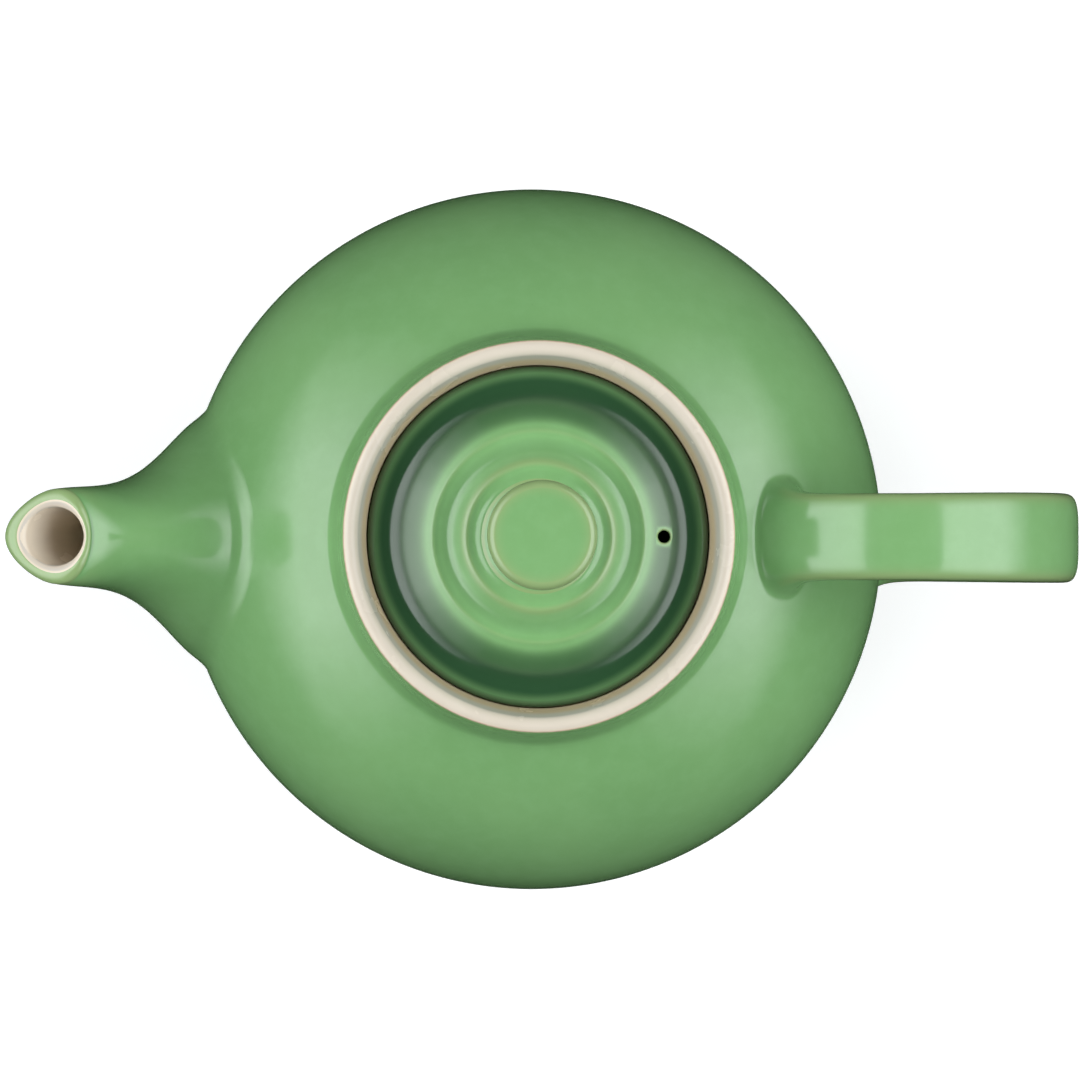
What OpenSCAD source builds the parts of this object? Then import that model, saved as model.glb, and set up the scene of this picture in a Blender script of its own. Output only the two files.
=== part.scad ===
// Round stoneware teapot, glazed outside and in, with a lift-off lid
// and a steel infuser basket that hangs in the throat under the lid.
// Millimetres, +Z up. The origin is on the pot's axis, on the table.
// The spout points along -X and the handle along +X.

/* [Pot] */
// Diameter of the belly at its widest
belly_d = 156; // [130:1:188]
// Height of the whole belly ellipse, before the foot and the throat cut it
belly_h = 115; // [95.8:0.1:138]
// Depth of the ellipse's bottom that the foot cuts off
belly_cut = 9.5; // [7.5:0.1:11.4]
// Thickness of the clay wall at the belly
wall = 4.7; // [3.9:0.1:5.7]
// Thickness of the clay under the throat, where the shoulder is heavier
shoulder_t = 7; // [5.8:0.1:8.4]
// Thickness of the floor
floor_t = 6; // [5:0.1:7.2]
// Thickness of the pale glaze inside
coat = 0.5; // [0.3:0.1:0.8]

/* [Foot] */
// Height of the bare foot ring
foot_h = 4; // [3.3:0.1:4.8]
// Width of the foot ring's clay
foot_w = 7; // [5.8:0.1:8.4]
// Chamfer round the foot ring's edges
foot_chamfer = 0.8; // [0.4:0.1:1.2]

/* [Rim] */
// Height of the collar above the shoulder
collar_h = 13.3; // [11:0.1:16]
// Thickness of the collar outside the lid's recess
collar_t = 5.4; // [4.6:0.1:6.5]
// How far the collar's root spreads onto the shoulder
collar_spread = 3.2; // [2.6:0.1:3.9]
// Radius of the rounded rim
rim_round = 1.9; // [1.2:0.1:2.2]
// Depth from the rim down to the ledge that carries the basket
ledge_drop = 12; // [10:0.1:14.4]
// Depth of the straight part of the lid's recess
recess_h = 4; // [3:0.1:5]
// Width of the ledge
ledge_w = 2.8; // [2.4:0.1:3.4]

/* [Spout] */
// Distance from the pot's axis to the tip of the lip
spout_reach = 113.5; // [110:0.5:136]
// Height of the middle of the mouth
mouth_z = 108; // [90:0.5:122]
// Length of the mouth, from the lip to its back edge
mouth_l = 18.9; // [16:0.1:21.8]
// Width of the mouth
mouth_w = 20.4; // [17.2:0.1:24]
// How far the mouth is tipped towards the lip, in degrees
mouth_tip = 12; // [6:1:20]
// Width of the spout's root on the belly
spout_root_w = 54.4; // [46:0.1:64]
// Height of the spout's root on the belly
spout_root_h = 66; // [55:0.1:79.2]
// Thickness of the spout's wall
spout_wall = 4.2; // [3.6:0.1:4.6]
// Diameter of the hole from the pot into the spout
port_d = 24; // [20:0.5:28.8]

/* [Handle] */
// Distance from the pot's axis to the outside of the handle
handle_reach = 119.5; // [112:0.5:143]
// Height of the top of the handle
handle_top = 111.5; // [100:0.5:126]
// Width of the strap at the top of the handle
strap_w = 18.6; // [15.5:0.1:22.3]
// How much wider the strap is at the outside of the handle
strap_swell = 1; // [0:0.1:2]
// Thickness of the strap
strap_t = 9; // [7.5:0.1:10.8]
// How far the strap spreads on each side where it joins the belly
root_spread = 3.4; // [2:0.1:4]

/* [Lid] */
// Diameter of the lid
lid_d = 72.6; // [60.5:0.1:87]
// Height of the lid from its seat to the top of the knob
lid_h = 36; // [30:0.1:43.2]
// Diameter of the knob
knob_d = 23; // [19.2:0.1:27.6]
// Diameter of the knob's neck at its waist
neck_d = 14.6; // [12.2:0.1:16.4]
// How far the neck flares out at its foot
neck_flare = 5; // [4:0.1:5.4]
// Place of the inner relief ring, from the neck's foot at 0 to the moat at 1
ring_1_at = 0.172; // [0.15:0.001:0.23]
// Height of the inner relief ring above the lid's seat
ring_1_h = 10.6; // [9.5:0.1:13.7]
// Place of the outer relief ring, between the same two
ring_2_at = 0.561; // [0.5:0.001:0.62]
// Height of the outer relief ring above the lid's seat
ring_2_h = 8; // [7.8:0.1:9.4]
// Diameter of the steam vent
vent_d = 2.7; // [2.2:0.1:3.3]
// Length of the skirt that keeps the lid in place
skirt_h = 13; // [9:0.1:15.6]
// Thickness of the skirt
skirt_t = 2.7; // [2.2:0.1:3.3]

/* [Infuser] */
// Thickness of the basket's sheet steel
sheet = 0.6; // [0.5:0.05:0.75]
// Thickness of the flange that lies on the ledge
flange_t = 0.8; // [0.7:0.05:1]
// Depth of the basket below the ledge
basket_h = 65; // [54:0.5:78]
// How much narrower the basket is at the bottom, on each side
basket_taper = 2.5; // [1:0.1:3]
// Height of the turned-up edge of the base
base_edge = 5; // [4:0.1:6]
// Height of the rim's collar that the wall is welded into
rim_collar = 7; // [5.8:0.1:8.4]
// Width of the lap seam down the wall
seam_w = 6; // [5:0.1:7.2]

/* [Clearances] */
// Radial gap between the lid and its recess
lid_gap = 0.5; // [0.4:0.05:0.8]
// Radial gap between the basket and the throat
basket_gap = 0.8; // [0.6:0.05:1]
// Gap between the steam vent and the inside of the skirt
vent_inset = 0.13; // [0.1:0.01:0.5]
// Radial gap between the lid's skirt and the basket
skirt_gap = 1; // [0.8:0.05:1.3]
// Gap at each seat, where one piece rests on another
seat_gap = 0.1; // [0.05:0.01:0.15]
// Gap where the spout and the handle are luted to the belly
lute_gap = 0.1; // [0.06:0.01:0.15]
// Gap between the spout's clay and its pale glaze
skin_gap = 0.02; // [0.01:0.01:0.05]

/* [Hidden] */

green = "#6fa668";
cream = "#e4dac8";
bare_clay = "#cdbb9f";
steel = "#b8bbbe";

$fn = 96;
axis_turn = [0, 90, 0];

belly_a = belly_d / 2;
belly_b = belly_h / 2;
belly_z = foot_h + belly_b - belly_cut;
cavity_a = belly_a - wall;
cavity_b = belly_b - shoulder_t;
floor_z = foot_h + floor_t;

lid_r = lid_d / 2;
recess_r = lid_r + lid_gap;
throat_r = recess_r - ledge_w;
collar_r = recess_r + collar_t;
collar_root_r = collar_r + collar_spread;
collar_root_z = belly_z + belly_b * sqrt(1 - pow(collar_root_r / belly_a, 2));
rim_z = collar_root_z + collar_h;
ledge_z = rim_z - ledge_drop;
recess_z = ledge_z + recess_h;
rim_centre = [collar_r - rim_round, rim_z - rim_round];
funnel = rim_centre - [recess_r, recess_z];
funnel_a = atan2(funnel.y, funnel.x) + asin(rim_round / norm(funnel));

flange_z = ledge_z + seat_gap;
seat_z = flange_z + flange_t + seat_gap;
collar_in_r = throat_r - basket_gap - sheet;
basket_r = collar_in_r - sheet;
basket_z = ledge_z - basket_h;
basket_low_r = basket_r - basket_taper;
wall_top_z = flange_z - seat_gap;
skirt_r = basket_r - skirt_gap;
skirt_in_r = skirt_r - skirt_t;

// Belly ellipse: its radius at a height, and a run of points along it.
function belly_r(z) = belly_a * sqrt(1 - pow((z - belly_z) / belly_b, 2));
function ellipse_run(a, b, a0, a1, n) = [
    for (i = [0:n]) let (t = mix(a0, a1, i / n)) [a * cos(t), belly_z + b * sin(t)]
];
function mix(a, b, t) = a + (b - a) * t;
function arc(centre, r, a0, a1, n) = [
    for (i = [0:n]) let (t = mix(a0, a1, i / n)) centre + r * [cos(t), sin(t)]
];
function bezier(p, t) =
    pow(1 - t, 3) * p[0] + 3 * t * pow(1 - t, 2) * p[1]
    + 3 * t * t * (1 - t) * p[2] + pow(t, 3) * p[3];
function reversed(list) = [for (i = [len(list) - 1:-1:0]) list[i]];

// A smooth curve through points, n steps to a span.
function smooth(p, n) = concat(
    [for (i = [0:len(p) - 2], k = [0:n - 1]) let (
        t = k / n,
        before = p[max(i - 1, 0)],
        after = p[min(i + 2, len(p) - 1)],
        slope_0 = (p[i + 1] - before) / 2,
        slope_1 = (after - p[i]) / 2
    ) bezier([p[i], p[i] + slope_0 / 3, p[i + 1] - slope_1 / 3, p[i + 1]], t)],
    [p[len(p) - 1]]
);

// The pot's inside from the rim down to the floor, t deep into the clay.
function inside(t) = concat(
    arc(rim_centre, rim_round - t, 0, funnel_a + 90, 8),
    [
        [recess_r + t, recess_z + t * (sin(funnel_a) - 1) / cos(funnel_a)],
        [recess_r + t, ledge_z - t],
        [throat_r + t, ledge_z - t]
    ],
    ellipse_run(
        cavity_a + t, cavity_b + t,
        acos((throat_r + t) / (cavity_a + t)),
        asin((floor_z - t - belly_z) / (cavity_b + t)),
        28
    ),
    [[0, floor_z - t]]
);

// The pot's outside from the foot up to the rim.
function outside() = concat(
    [[0, foot_h]],
    ellipse_run(
        belly_a, belly_b,
        asin((foot_h - belly_z) / belly_b),
        acos(collar_root_r / belly_a),
        32
    ),
    [for (i = [1:8]) let (t = i / 8) bezier([
        [collar_root_r, collar_root_z],
        [collar_r + collar_spread / 3, collar_root_z + collar_h / 12],
        [collar_r + collar_spread / 5, collar_root_z + collar_h / 2],
        [collar_r, rim_centre.y]
    ], t)]
);

module port_cut() {
    translate([-belly_a * 1.1, 0, belly_z])
        rotate(axis_turn)
            cylinder(d = port_d, h = belly_a * 0.6);
}

module pot_body() {
    color(green)
        difference() {
            rotate_extrude()
                polygon(concat(outside(), inside(coat)));
            port_cut();
        }
}

module pot_lining() {
    color(cream)
        difference() {
            rotate_extrude()
                polygon(concat(inside(0), reversed(inside(coat))));
            port_cut();
        }
}

module foot_ring() {
    foot_r = belly_r(foot_h);
    color(bare_clay)
        rotate_extrude()
            polygon([
                [foot_r - foot_w, foot_h],
                [foot_r - foot_w, foot_chamfer],
                [foot_r - foot_w + foot_chamfer, 0],
                [foot_r - foot_chamfer, 0],
                [foot_r, foot_chamfer],
                [foot_r, foot_h]
            ]);
}

// Slides p along dir, outwards, to where it meets the belly with gap to spare.
function onto_belly(p, dir, gap) =
    let (
        scale = [1 / (belly_a + gap), 1 / (belly_a + gap), 1 / (belly_b + gap)],
        q = [p.x * scale.x, p.y * scale.y, (p.z - belly_z) * scale.z],
        d = [dir.x * scale.x, dir.y * scale.y, dir.z * scale.z],
        s = (-(q * d) + sqrt(pow(q * d, 2) - (d * d) * (q * q - 1))) / (d * d)
    )
    p + s * dir;

// Spout: rings run from the root on the belly, t = 0, to the mouth, t = 1.
// Each ring lies between a point on the top line and one on the low line.
sides = 32;
spout_steps = 14;
spout_mid_z = belly_z + 1;
mouth_half = mouth_l / 2 * [cos(mouth_tip), sin(mouth_tip)];
mouth_mid = [-spout_reach + mouth_half.x, mouth_z];
root_top = let (z = spout_mid_z + spout_root_h / 2) [-belly_r(z), z];
root_low = let (z = spout_mid_z - spout_root_h / 2) [-belly_r(z), z];
mouth_up = [-sin(mouth_tip), cos(mouth_tip)];
top_leaves = [-13, 2];
top_arrives = [9.3, -4];
low_leaves = [-21, 14];
low_arrives = [20, -26];
top_line = [
    root_top, root_top + top_leaves,
    mouth_mid + mouth_half + top_arrives, mouth_mid + mouth_half
];
low_line = [
    root_low, root_low + low_leaves,
    mouth_mid - mouth_half + low_arrives, mouth_mid - mouth_half
];
neck_w = mouth_w + 1.4;

function spout_width(t) =
    neck_w + (spout_root_w - neck_w) * pow(1 - pow(t, 1.5), 3.9)
    - (neck_w - mouth_w) * pow(t, 8);

// A flat ring of the spout, inset into its wall and raised out of its plane.
function spout_flat(t, a, inset, raise) =
    let (
        top = bezier(top_line, t),
        low = bezier(low_line, t),
        half = (top - low) / 2,
        along = half / norm(half),
        reach = (norm(half) - inset) * cos(a)
            + 2.35 * pow(t, 3) * pow(sin(a), 2) * (1 - inset / norm(half)),
        mid = (top + low) / 2 + along * reach + mouth_up * raise,
        y = (spout_width(t) / 2 - inset) * sin(a) * (1 + 0.1 * pow(t, 4) * cos(a))
    )
    [mid.x, y, mid.y];

// The flat ring bowed so that its root follows the belly.
function spout_ring(t, inset, raise = 0) = [
    for (i = [0:sides - 1])
        let (
            a = -360 * i / sides,
            root = spout_flat(0, a, inset, 0),
            bow = onto_belly(root, [-1, 0, 0], lute_gap) - root
        )
        spout_flat(t, a, inset, raise) + bow * pow(1 - t, 2)
];

// Triangles of a grid of rings. The last ring joins the first if it is a loop,
// and a plain tube is closed by its first and last rings. Every cell is split
// from its first ring's near corner, so that two grids whose rings run the same
// way bend alike and one can lie on the other.
function ring_faces(rings, n, loop) = concat(
    [for (j = [0:rings - (loop ? 1 : 2)], i = [0:n - 1])
        let (k = (j + 1) % rings, m = (i + 1) % n)
        each [
            [j * n + i, j * n + m, k * n + m],
            [j * n + i, k * n + m, k * n + i]
        ]],
    loop ? [] : [
        reversed([for (i = [0:n - 1]) i]),
        [for (i = [0:n - 1]) (rings - 1) * n + i]
    ]
);

// A solid from rings. Rings that go up the inside first are turned inside out.
module ring_grid(rings, loop = true, inside_first = false) {
    n = len(rings[0]);
    faces = ring_faces(len(rings), n, loop);
    polyhedron(
        points = [for (r = rings) each r],
        faces = inside_first ? [for (f = faces) reversed(f)] : faces,
        convexity = 6
    );
}

// The glazes meet on the lip, where the outside green turns to the pale inside.
lip_joint = spout_wall * 0.6;
lip_rise = spout_wall * 0.34;

module spout() {
    clay = spout_wall - coat;
    color(green)
        ring_grid(concat(
            [for (k = [0:spout_steps]) spout_ring(k / spout_steps, 0)],
            [
                spout_ring(1, lip_joint * 0.25, lip_rise * 0.7),
                spout_ring(1, lip_joint * 0.6, lip_rise),
                spout_ring(1, lip_joint, lip_rise * 0.95),
                spout_ring(1, lip_joint, lip_rise * 0.95 - coat)
            ],
            [for (k = [spout_steps:-1:0]) spout_ring(k / spout_steps, clay)]
        ));
}

module spout_lining() {
    bed = spout_wall - coat + skin_gap;
    face = spout_wall;
    color(cream)
        ring_grid(concat(
            [for (k = [0:spout_steps]) spout_ring(k / spout_steps, face)],
            [
                spout_ring(1, (lip_joint + face) / 2, lip_rise * 0.7),
                spout_ring(1, lip_joint + skin_gap, lip_rise * 0.95),
                spout_ring(1, lip_joint + skin_gap, lip_rise * 0.95 - coat + skin_gap)
            ],
            [for (k = [spout_steps:-1:0]) spout_ring(k / spout_steps, bed)]
        ), inside_first = true);
}

// Handle: a strap along an elliptical loop, from the shoulder to the belly.
handle_x = belly_a + 2.5;
handle_z = mix(spout_mid_z, handle_top, 0.33);
loop_a = handle_reach - strap_t / 2 - handle_x;
loop_b = handle_top - strap_t / 2 - handle_z;
strap_points = 24;
strap_steps = 32;
spread_arc = 16;

function loop_at(a) = [handle_x + loop_a * cos(a), 0, handle_z + loop_b * sin(a)];
function loop_out(a) =
    let (d = [loop_b * cos(a), 0, loop_a * sin(a)]) d / norm(d);
function in_belly(p) =
    pow(p.x / belly_a, 2) + pow((p.z - belly_z) / belly_b, 2) < 1;

// The angle at which the loop meets the belly, between one inside and one outside.
function meets(within, without, n = 24) =
    let (mid = (within + without) / 2)
    n == 0 ? mid
    : in_belly(loop_at(mid)) ? meets(mid, without, n - 1)
    : meets(within, mid, n - 1);

upper_a = meets(175, 80);
lower_a = meets(-150, -60);

function squared(v) = sign(v) * sqrt(abs(v));

// One section of the strap at angle a of the loop, s times its full size,
// spread as it nears the root and pressed onto the belly at the root itself.
function strap_flat(a, s, spread) =
    let (mid = loop_at(a), out = loop_out(a), half_w = (strap_w + strap_swell * max(cos(a), 0)) / 2)
    [for (i = [0:strap_points - 1])
        let (t = 360 * i / strap_points)
        mid
        + out * squared(cos(t)) * s * (strap_t / 2 + spread * 0.6)
        + [0, squared(sin(t)) * s * (half_w + spread), 0]];
function strap_press(root, s, into) =
    let (flat = strap_flat(root, s, root_spread))
    [for (p = flat) onto_belly(p, -into, lute_gap) - p];
function strap_ring(a, root, s, into) =
    let (
        near = max(0, 1 - abs(a - root) / spread_arc),
        flat = strap_flat(a, s, root_spread * near * near),
        press = strap_press(root, s, into)
    )
    [for (i = [0:strap_points - 1]) flat[i] + press[i] * near * near];
function strap_heading(a, way) = way * [loop_out(a).z, 0, -loop_out(a).x];

module handle() {
    upper_in = strap_heading(upper_a, -1);
    lower_in = strap_heading(lower_a, 1);
    half_a = (upper_a + lower_a) / 2;
    cap = [0.05, 0.35, 0.7];
    color(green)
        ring_grid(concat(
            [for (s = cap) strap_ring(upper_a, upper_a, s, upper_in)],
            [for (k = [0:strap_steps / 2])
                strap_ring(mix(upper_a, half_a, 2 * k / strap_steps), upper_a, 1, upper_in)],
            [for (k = [1:strap_steps / 2])
                strap_ring(mix(half_a, lower_a, 2 * k / strap_steps), lower_a, 1, lower_in)],
            [for (s = reversed(cap)) strap_ring(lower_a, lower_a, s, lower_in)]
        ), loop = false);
}

// Lid: heights are above its seat, where it rests on the basket's flange.
moat_in_r = lid_r - 6;
moat_r = lid_r - 3.6;
bead_r = lid_r - 1.2;
moat_h = 3.2;
lid_t = 4.6;
neck_foot = [neck_d / 2 + neck_flare, ring_1_h + 0.2];
ring_1_r = mix(neck_foot.x, moat_in_r, ring_1_at);
ring_2_r = mix(neck_foot.x, moat_in_r, ring_2_at);
vent_at = skirt_in_r - vent_d / 2 - vent_inset;

function lid_relief() = smooth([
    [lid_r, 0.9],
    [lid_r - 0.15, 2.4],
    [bead_r, moat_h + 0.5],
    [moat_r, moat_h],
    [moat_in_r, moat_h + 0.7],
    [mix(ring_2_r, moat_in_r, 0.45), mix(moat_h, ring_2_h, 0.62)],
    [ring_2_r + 1, ring_2_h - 0.5],
    [ring_2_r, ring_2_h],
    [ring_2_r - 1, ring_2_h - 0.4],
    [mix(ring_1_r, ring_2_r, 0.5), ring_2_h - 0.1],
    [ring_1_r + 1, ring_1_h - 0.6],
    [ring_1_r, ring_1_h],
    [ring_1_r - 1.2, ring_1_h - 0.3],
    neck_foot
], 3);
function lid_hollow(t) = smooth([
    [0, ring_1_h - lid_t + t],
    [ring_1_r - 2, ring_1_h - lid_t - 0.4 + t],
    [ring_2_r - 1, ring_2_h - lid_t + t],
    [skirt_in_r, t]
], 4);
function lifted(points, z) = [for (p = points) p + [0, z]];

module vent_cut() {
    translate([vent_at, 0, seat_z - 1])
        cylinder(d = vent_d, h = lid_h);
}

module lid_cap() {
    color(green)
        difference() {
            rotate_extrude()
                polygon(lifted(concat(
                    lid_hollow(coat),
                    [[skirt_in_r, 0], [lid_r - 0.9, 0]],
                    lid_relief(),
                    [[0, neck_foot.y]]
                ), seat_z));
            vent_cut();
        }
}

module lid_lining() {
    color(cream)
        difference() {
            rotate_extrude()
                polygon(lifted(concat(lid_hollow(0), reversed(lid_hollow(coat))), seat_z));
            vent_cut();
        }
}

module lid_skirt() {
    chamfer = skirt_t / 4;
    color(cream)
        translate([0, 0, seat_z - skirt_h])
            rotate_extrude()
                polygon([
                    [skirt_in_r, chamfer], [skirt_in_r + chamfer, 0],
                    [skirt_r - chamfer, 0], [skirt_r, chamfer],
                    [skirt_r, skirt_h], [skirt_in_r, skirt_h]
                ]);
}

module lid_knob() {
    knob_r = knob_d / 2;
    neck_r = neck_d / 2;
    knob_edge = 1.8;
    waist_h = mix(neck_foot.y, lid_h, 0.42);
    color(green)
        translate([0, 0, seat_z])
            rotate_extrude()
                polygon(concat(
                    [[0, neck_foot.y]],
                    smooth([
                        neck_foot,
                        [neck_r + neck_flare * 0.45, mix(neck_foot.y, waist_h, 0.16)],
                        [neck_r + neck_flare * 0.1, mix(neck_foot.y, waist_h, 0.54)],
                        [neck_r, waist_h],
                        [mix(neck_r, knob_r, 0.3), mix(waist_h, lid_h, 0.36)],
                        [mix(neck_r, knob_r, 0.8), mix(waist_h, lid_h, 0.66)],
                        [knob_r, lid_h - knob_edge]
                    ], 4),
                    arc([knob_r - knob_edge, lid_h - knob_edge], knob_edge, 0, 90, 6),
                    [[0, lid_h]]
                ));
}

// Basket: the wall narrows to the base, and its top stands in the rim's collar.
wall_low_z = basket_z + sheet;
function basket_at(z) = basket_r - basket_taper
    * min(1, max(0, (flange_z - rim_collar - z) / (flange_z - rim_collar - wall_low_z)));

module infuser_rim() {
    color(steel)
        rotate_extrude()
            polygon([
                [collar_in_r, flange_z - rim_collar],
                [collar_in_r + sheet, flange_z - rim_collar],
                [collar_in_r + sheet, flange_z],
                [lid_r, flange_z],
                [lid_r, flange_z + flange_t],
                [collar_in_r, flange_z + flange_t]
            ]);
}

module infuser_wall() {
    bend_z = flange_z - rim_collar;
    color(steel)
        rotate_extrude()
            polygon([
                [basket_low_r, wall_low_z],
                [basket_low_r + sheet, wall_low_z],
                [basket_r + sheet, bend_z],
                [basket_r + sheet, wall_top_z],
                [basket_r, wall_top_z],
                [basket_r, bend_z]
            ]);
}

module infuser_base() {
    edge_z = basket_z + base_edge;
    color(steel)
        rotate_extrude()
            polygon([
                [0, basket_z],
                [basket_low_r + 2 * sheet, basket_z],
                [basket_at(edge_z) + 2 * sheet, edge_z],
                [basket_at(edge_z) + sheet, edge_z],
                [basket_low_r + sheet, wall_low_z],
                [0, wall_low_z]
            ]);
}

module infuser_seam() {
    low = basket_z + base_edge + sheet;
    high = flange_z - rim_collar - sheet;
    half_turn = seam_w / basket_r * 90 / PI;
    color(steel)
        rotate([0, 0, 180 - half_turn])
            rotate_extrude(angle = 2 * half_turn)
                polygon([
                    [basket_at(low) + sheet, low],
                    [basket_at(low) + 1.6 * sheet, low],
                    [basket_at(high) + 1.6 * sheet, high],
                    [basket_at(high) + sheet, high]
                ]);
}

pot_body();
pot_lining();
foot_ring();
spout();
spout_lining();
handle();
lid_cap();
lid_knob();
lid_skirt();
lid_lining();
infuser_rim();
infuser_wall();
infuser_base();
infuser_seam();
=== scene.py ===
import math

import bmesh
import bpy
import numpy as np
from mathutils import Matrix, Vector


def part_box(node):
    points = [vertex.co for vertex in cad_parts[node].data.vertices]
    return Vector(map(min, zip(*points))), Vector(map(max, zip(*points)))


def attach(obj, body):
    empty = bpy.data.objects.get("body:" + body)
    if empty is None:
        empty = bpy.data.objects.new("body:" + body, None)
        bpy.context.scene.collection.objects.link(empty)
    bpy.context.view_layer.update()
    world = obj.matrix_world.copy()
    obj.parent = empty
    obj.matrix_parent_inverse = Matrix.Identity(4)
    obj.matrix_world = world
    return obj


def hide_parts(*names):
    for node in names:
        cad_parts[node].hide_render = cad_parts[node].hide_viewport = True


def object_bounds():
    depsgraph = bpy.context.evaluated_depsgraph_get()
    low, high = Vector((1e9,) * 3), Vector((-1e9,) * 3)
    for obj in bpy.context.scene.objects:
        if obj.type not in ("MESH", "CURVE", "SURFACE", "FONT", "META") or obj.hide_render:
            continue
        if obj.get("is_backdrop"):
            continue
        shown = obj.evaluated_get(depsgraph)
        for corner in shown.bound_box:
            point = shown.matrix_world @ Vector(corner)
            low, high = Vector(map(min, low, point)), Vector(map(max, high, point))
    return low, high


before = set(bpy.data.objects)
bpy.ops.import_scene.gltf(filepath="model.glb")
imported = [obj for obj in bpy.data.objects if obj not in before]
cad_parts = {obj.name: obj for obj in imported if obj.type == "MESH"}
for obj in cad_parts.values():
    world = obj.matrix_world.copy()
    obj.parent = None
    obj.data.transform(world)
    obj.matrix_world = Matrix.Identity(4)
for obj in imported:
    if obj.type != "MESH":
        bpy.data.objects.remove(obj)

# Looks for a round stoneware teapot: glazed pot, spout and handle, a lid with a
# knob, and a perforated steel infuser. Sizes below are in millimetres, and the
# meshes are scaled to metres as they are made.
MM = 0.001
cad_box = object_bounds()


# ---------------- sizes
def low(node):
    """Lowest corner of a CAD node, in millimetres."""
    return np.array(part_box(node)[0]) / MM


def high(node):
    """Highest corner of a CAD node, in millimetres."""
    return np.array(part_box(node)[1]) / MM


# Pot
belly_a = high("pot_body")[1]
belly_b = 57.5
foot_z = low("pot_body")[2]
belly_cut = 9.5
belly_z = foot_z + belly_b - belly_cut
wall = 4.7
shoulder_t = 7.0
floor_t = 6.0
coat = 0.5
foot_w = 7.0
foot_r = high("foot_ring")[0]
cavity_a = belly_a - wall
cavity_b = belly_b - shoulder_t
floor_z = foot_z + floor_t

# Rim
lid_r = high("lid_cap")[0]
collar_h = 13.3
collar_spread = 3.2
rim_round = 1.9
recess_h = 4.0
lid_grown = 0.34         # how far the lid's edge reaches past the CAD's
lid_gap = 0.08
ledge_w = 2.8
rim_w = 5.4
recess_r = lid_r + lid_grown + lid_gap
throat_r = recess_r - ledge_w
collar_r = recess_r + rim_w
collar_root_r = collar_r + collar_spread
collar_root_z = belly_z + belly_b * math.sqrt(1 - (collar_root_r / belly_a) ** 2)
rim_z = high("pot_lining")[2]
ledge_depth = 12.0
ledge_z = rim_z - ledge_depth
recess_z = ledge_z + recess_h
rim_centre = np.array([collar_r - rim_round, rim_z - rim_round])
glaze_joint = 40.0       # degrees up the crest where the green ends and the cream starts

# Spout
mouth_l = 18.9
mouth_w = 20.4
mouth_tip = math.radians(12)
mouth_z = 108.0
spout_reach = -low("spout")[0]
spout_root_w = 54.4
spout_root_h = 66.0
spout_wall = 4.2
bore_r = 6.2             # the round pouring hole
bore_back = 1.6          # how far its centre lies behind the mouth's
spout_mid_z = belly_z + 1
port_d = 24.0
lute_gap = 0.1
top_leaves = [-13, 2]    # how the spout's top line sets off from the belly
top_arrives = [9.3, -4]  # and comes up to the mouth
low_leaves = [-21, 14]   # the same for its low line
low_arrives = [20, -26]
root_share = 0.09        # where along the spout its fillet ends

# Handle
strap_t = 9.0
strap_w = 18.6
strap_swell = 1.0
root_spread = 1.2
spread_arc = 24.0
fillet_arc = 13.0
handle_reach = high("handle")[0]
handle_top = high("handle")[2]
handle_x = belly_a + 2.5
handle_z = spout_mid_z + 0.33 * (handle_top - spout_mid_z)
loop_a = handle_reach - strap_t / 2 - handle_x
loop_b = handle_top - strap_t / 2 - handle_z

# Lid
seat_z = low("lid_cap")[2]
lid_h = high("lid_knob")[2] - seat_z
lid_t = 4.6
knob_r = 11.5
neck_r = 7.3
neck_flare = high("lid_knob")[0] - neck_r
ring_1_h = 10.6
ring_2_h = 8.0
moat_h = 3.2
moat_in_r = lid_r - 6
moat_r = lid_r - 4.2
bead_r = lid_r - 2.2
edge_r = lid_r + lid_grown
neck_foot = np.array([neck_r + neck_flare, ring_1_h + 0.2])
ring_1_r = neck_foot[0] + 0.172 * (moat_in_r - neck_foot[0])
ring_2_r = neck_foot[0] + 0.561 * (moat_in_r - neck_foot[0])
skirt_r = high("lid_skirt")[0]
skirt_in_r = skirt_r - 2.7
skirt_z = low("lid_skirt")[2]
vent_d = 2.7
vent_at = skirt_in_r - vent_d / 2 - 0.13

# Infuser
sheet = 0.6
flange_top = high("infuser_rim")[2]
flange_z = flange_top - 0.8
rim_low = low("infuser_rim")[2]
basket_z = low("infuser_base")[2]
base_top = high("infuser_base")[2]
basket_out_r = high("infuser_wall")[0]
basket_low_r = high("infuser_base")[0] - 2 * sheet
flange_r = high("infuser_rim")[0]


# ---------------- curves
def mix(a, b, t):
    """The value that lies a share t of the way from a to b."""
    return a + (b - a) * t


def arc(centre, r, start, end, steps):
    """Points of a circular arc, with its angles in degrees."""
    angle = np.radians(np.linspace(start, end, steps + 1))
    return np.array(centre) + r * np.stack([np.cos(angle), np.sin(angle)], -1)


def bezier(p, t):
    """Points at t, from 0 to 1, of the cubic curve with the four control points p."""
    t = np.asarray(t, float)[..., None]
    return (
        (1 - t) ** 3 * p[0] + 3 * t * (1 - t) ** 2 * p[1]
        + 3 * t ** 2 * (1 - t) * p[2] + t ** 3 * p[3]
    )


def smooth(points, steps):
    """A Catmull-Rom curve through the points."""
    p = np.array(points, float)
    last = len(p) - 1
    out = []
    for i in range(last):
        slope_0 = (p[i + 1] - p[max(i - 1, 0)]) / 2
        slope_1 = (p[min(i + 2, last)] - p[i]) / 2
        span = [p[i], p[i] + slope_0 / 3, p[i + 1] - slope_1 / 3, p[i + 1]]
        out.append(bezier(span, np.arange(steps) / steps))
    return np.vstack(out + [p[-1:]])


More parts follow.
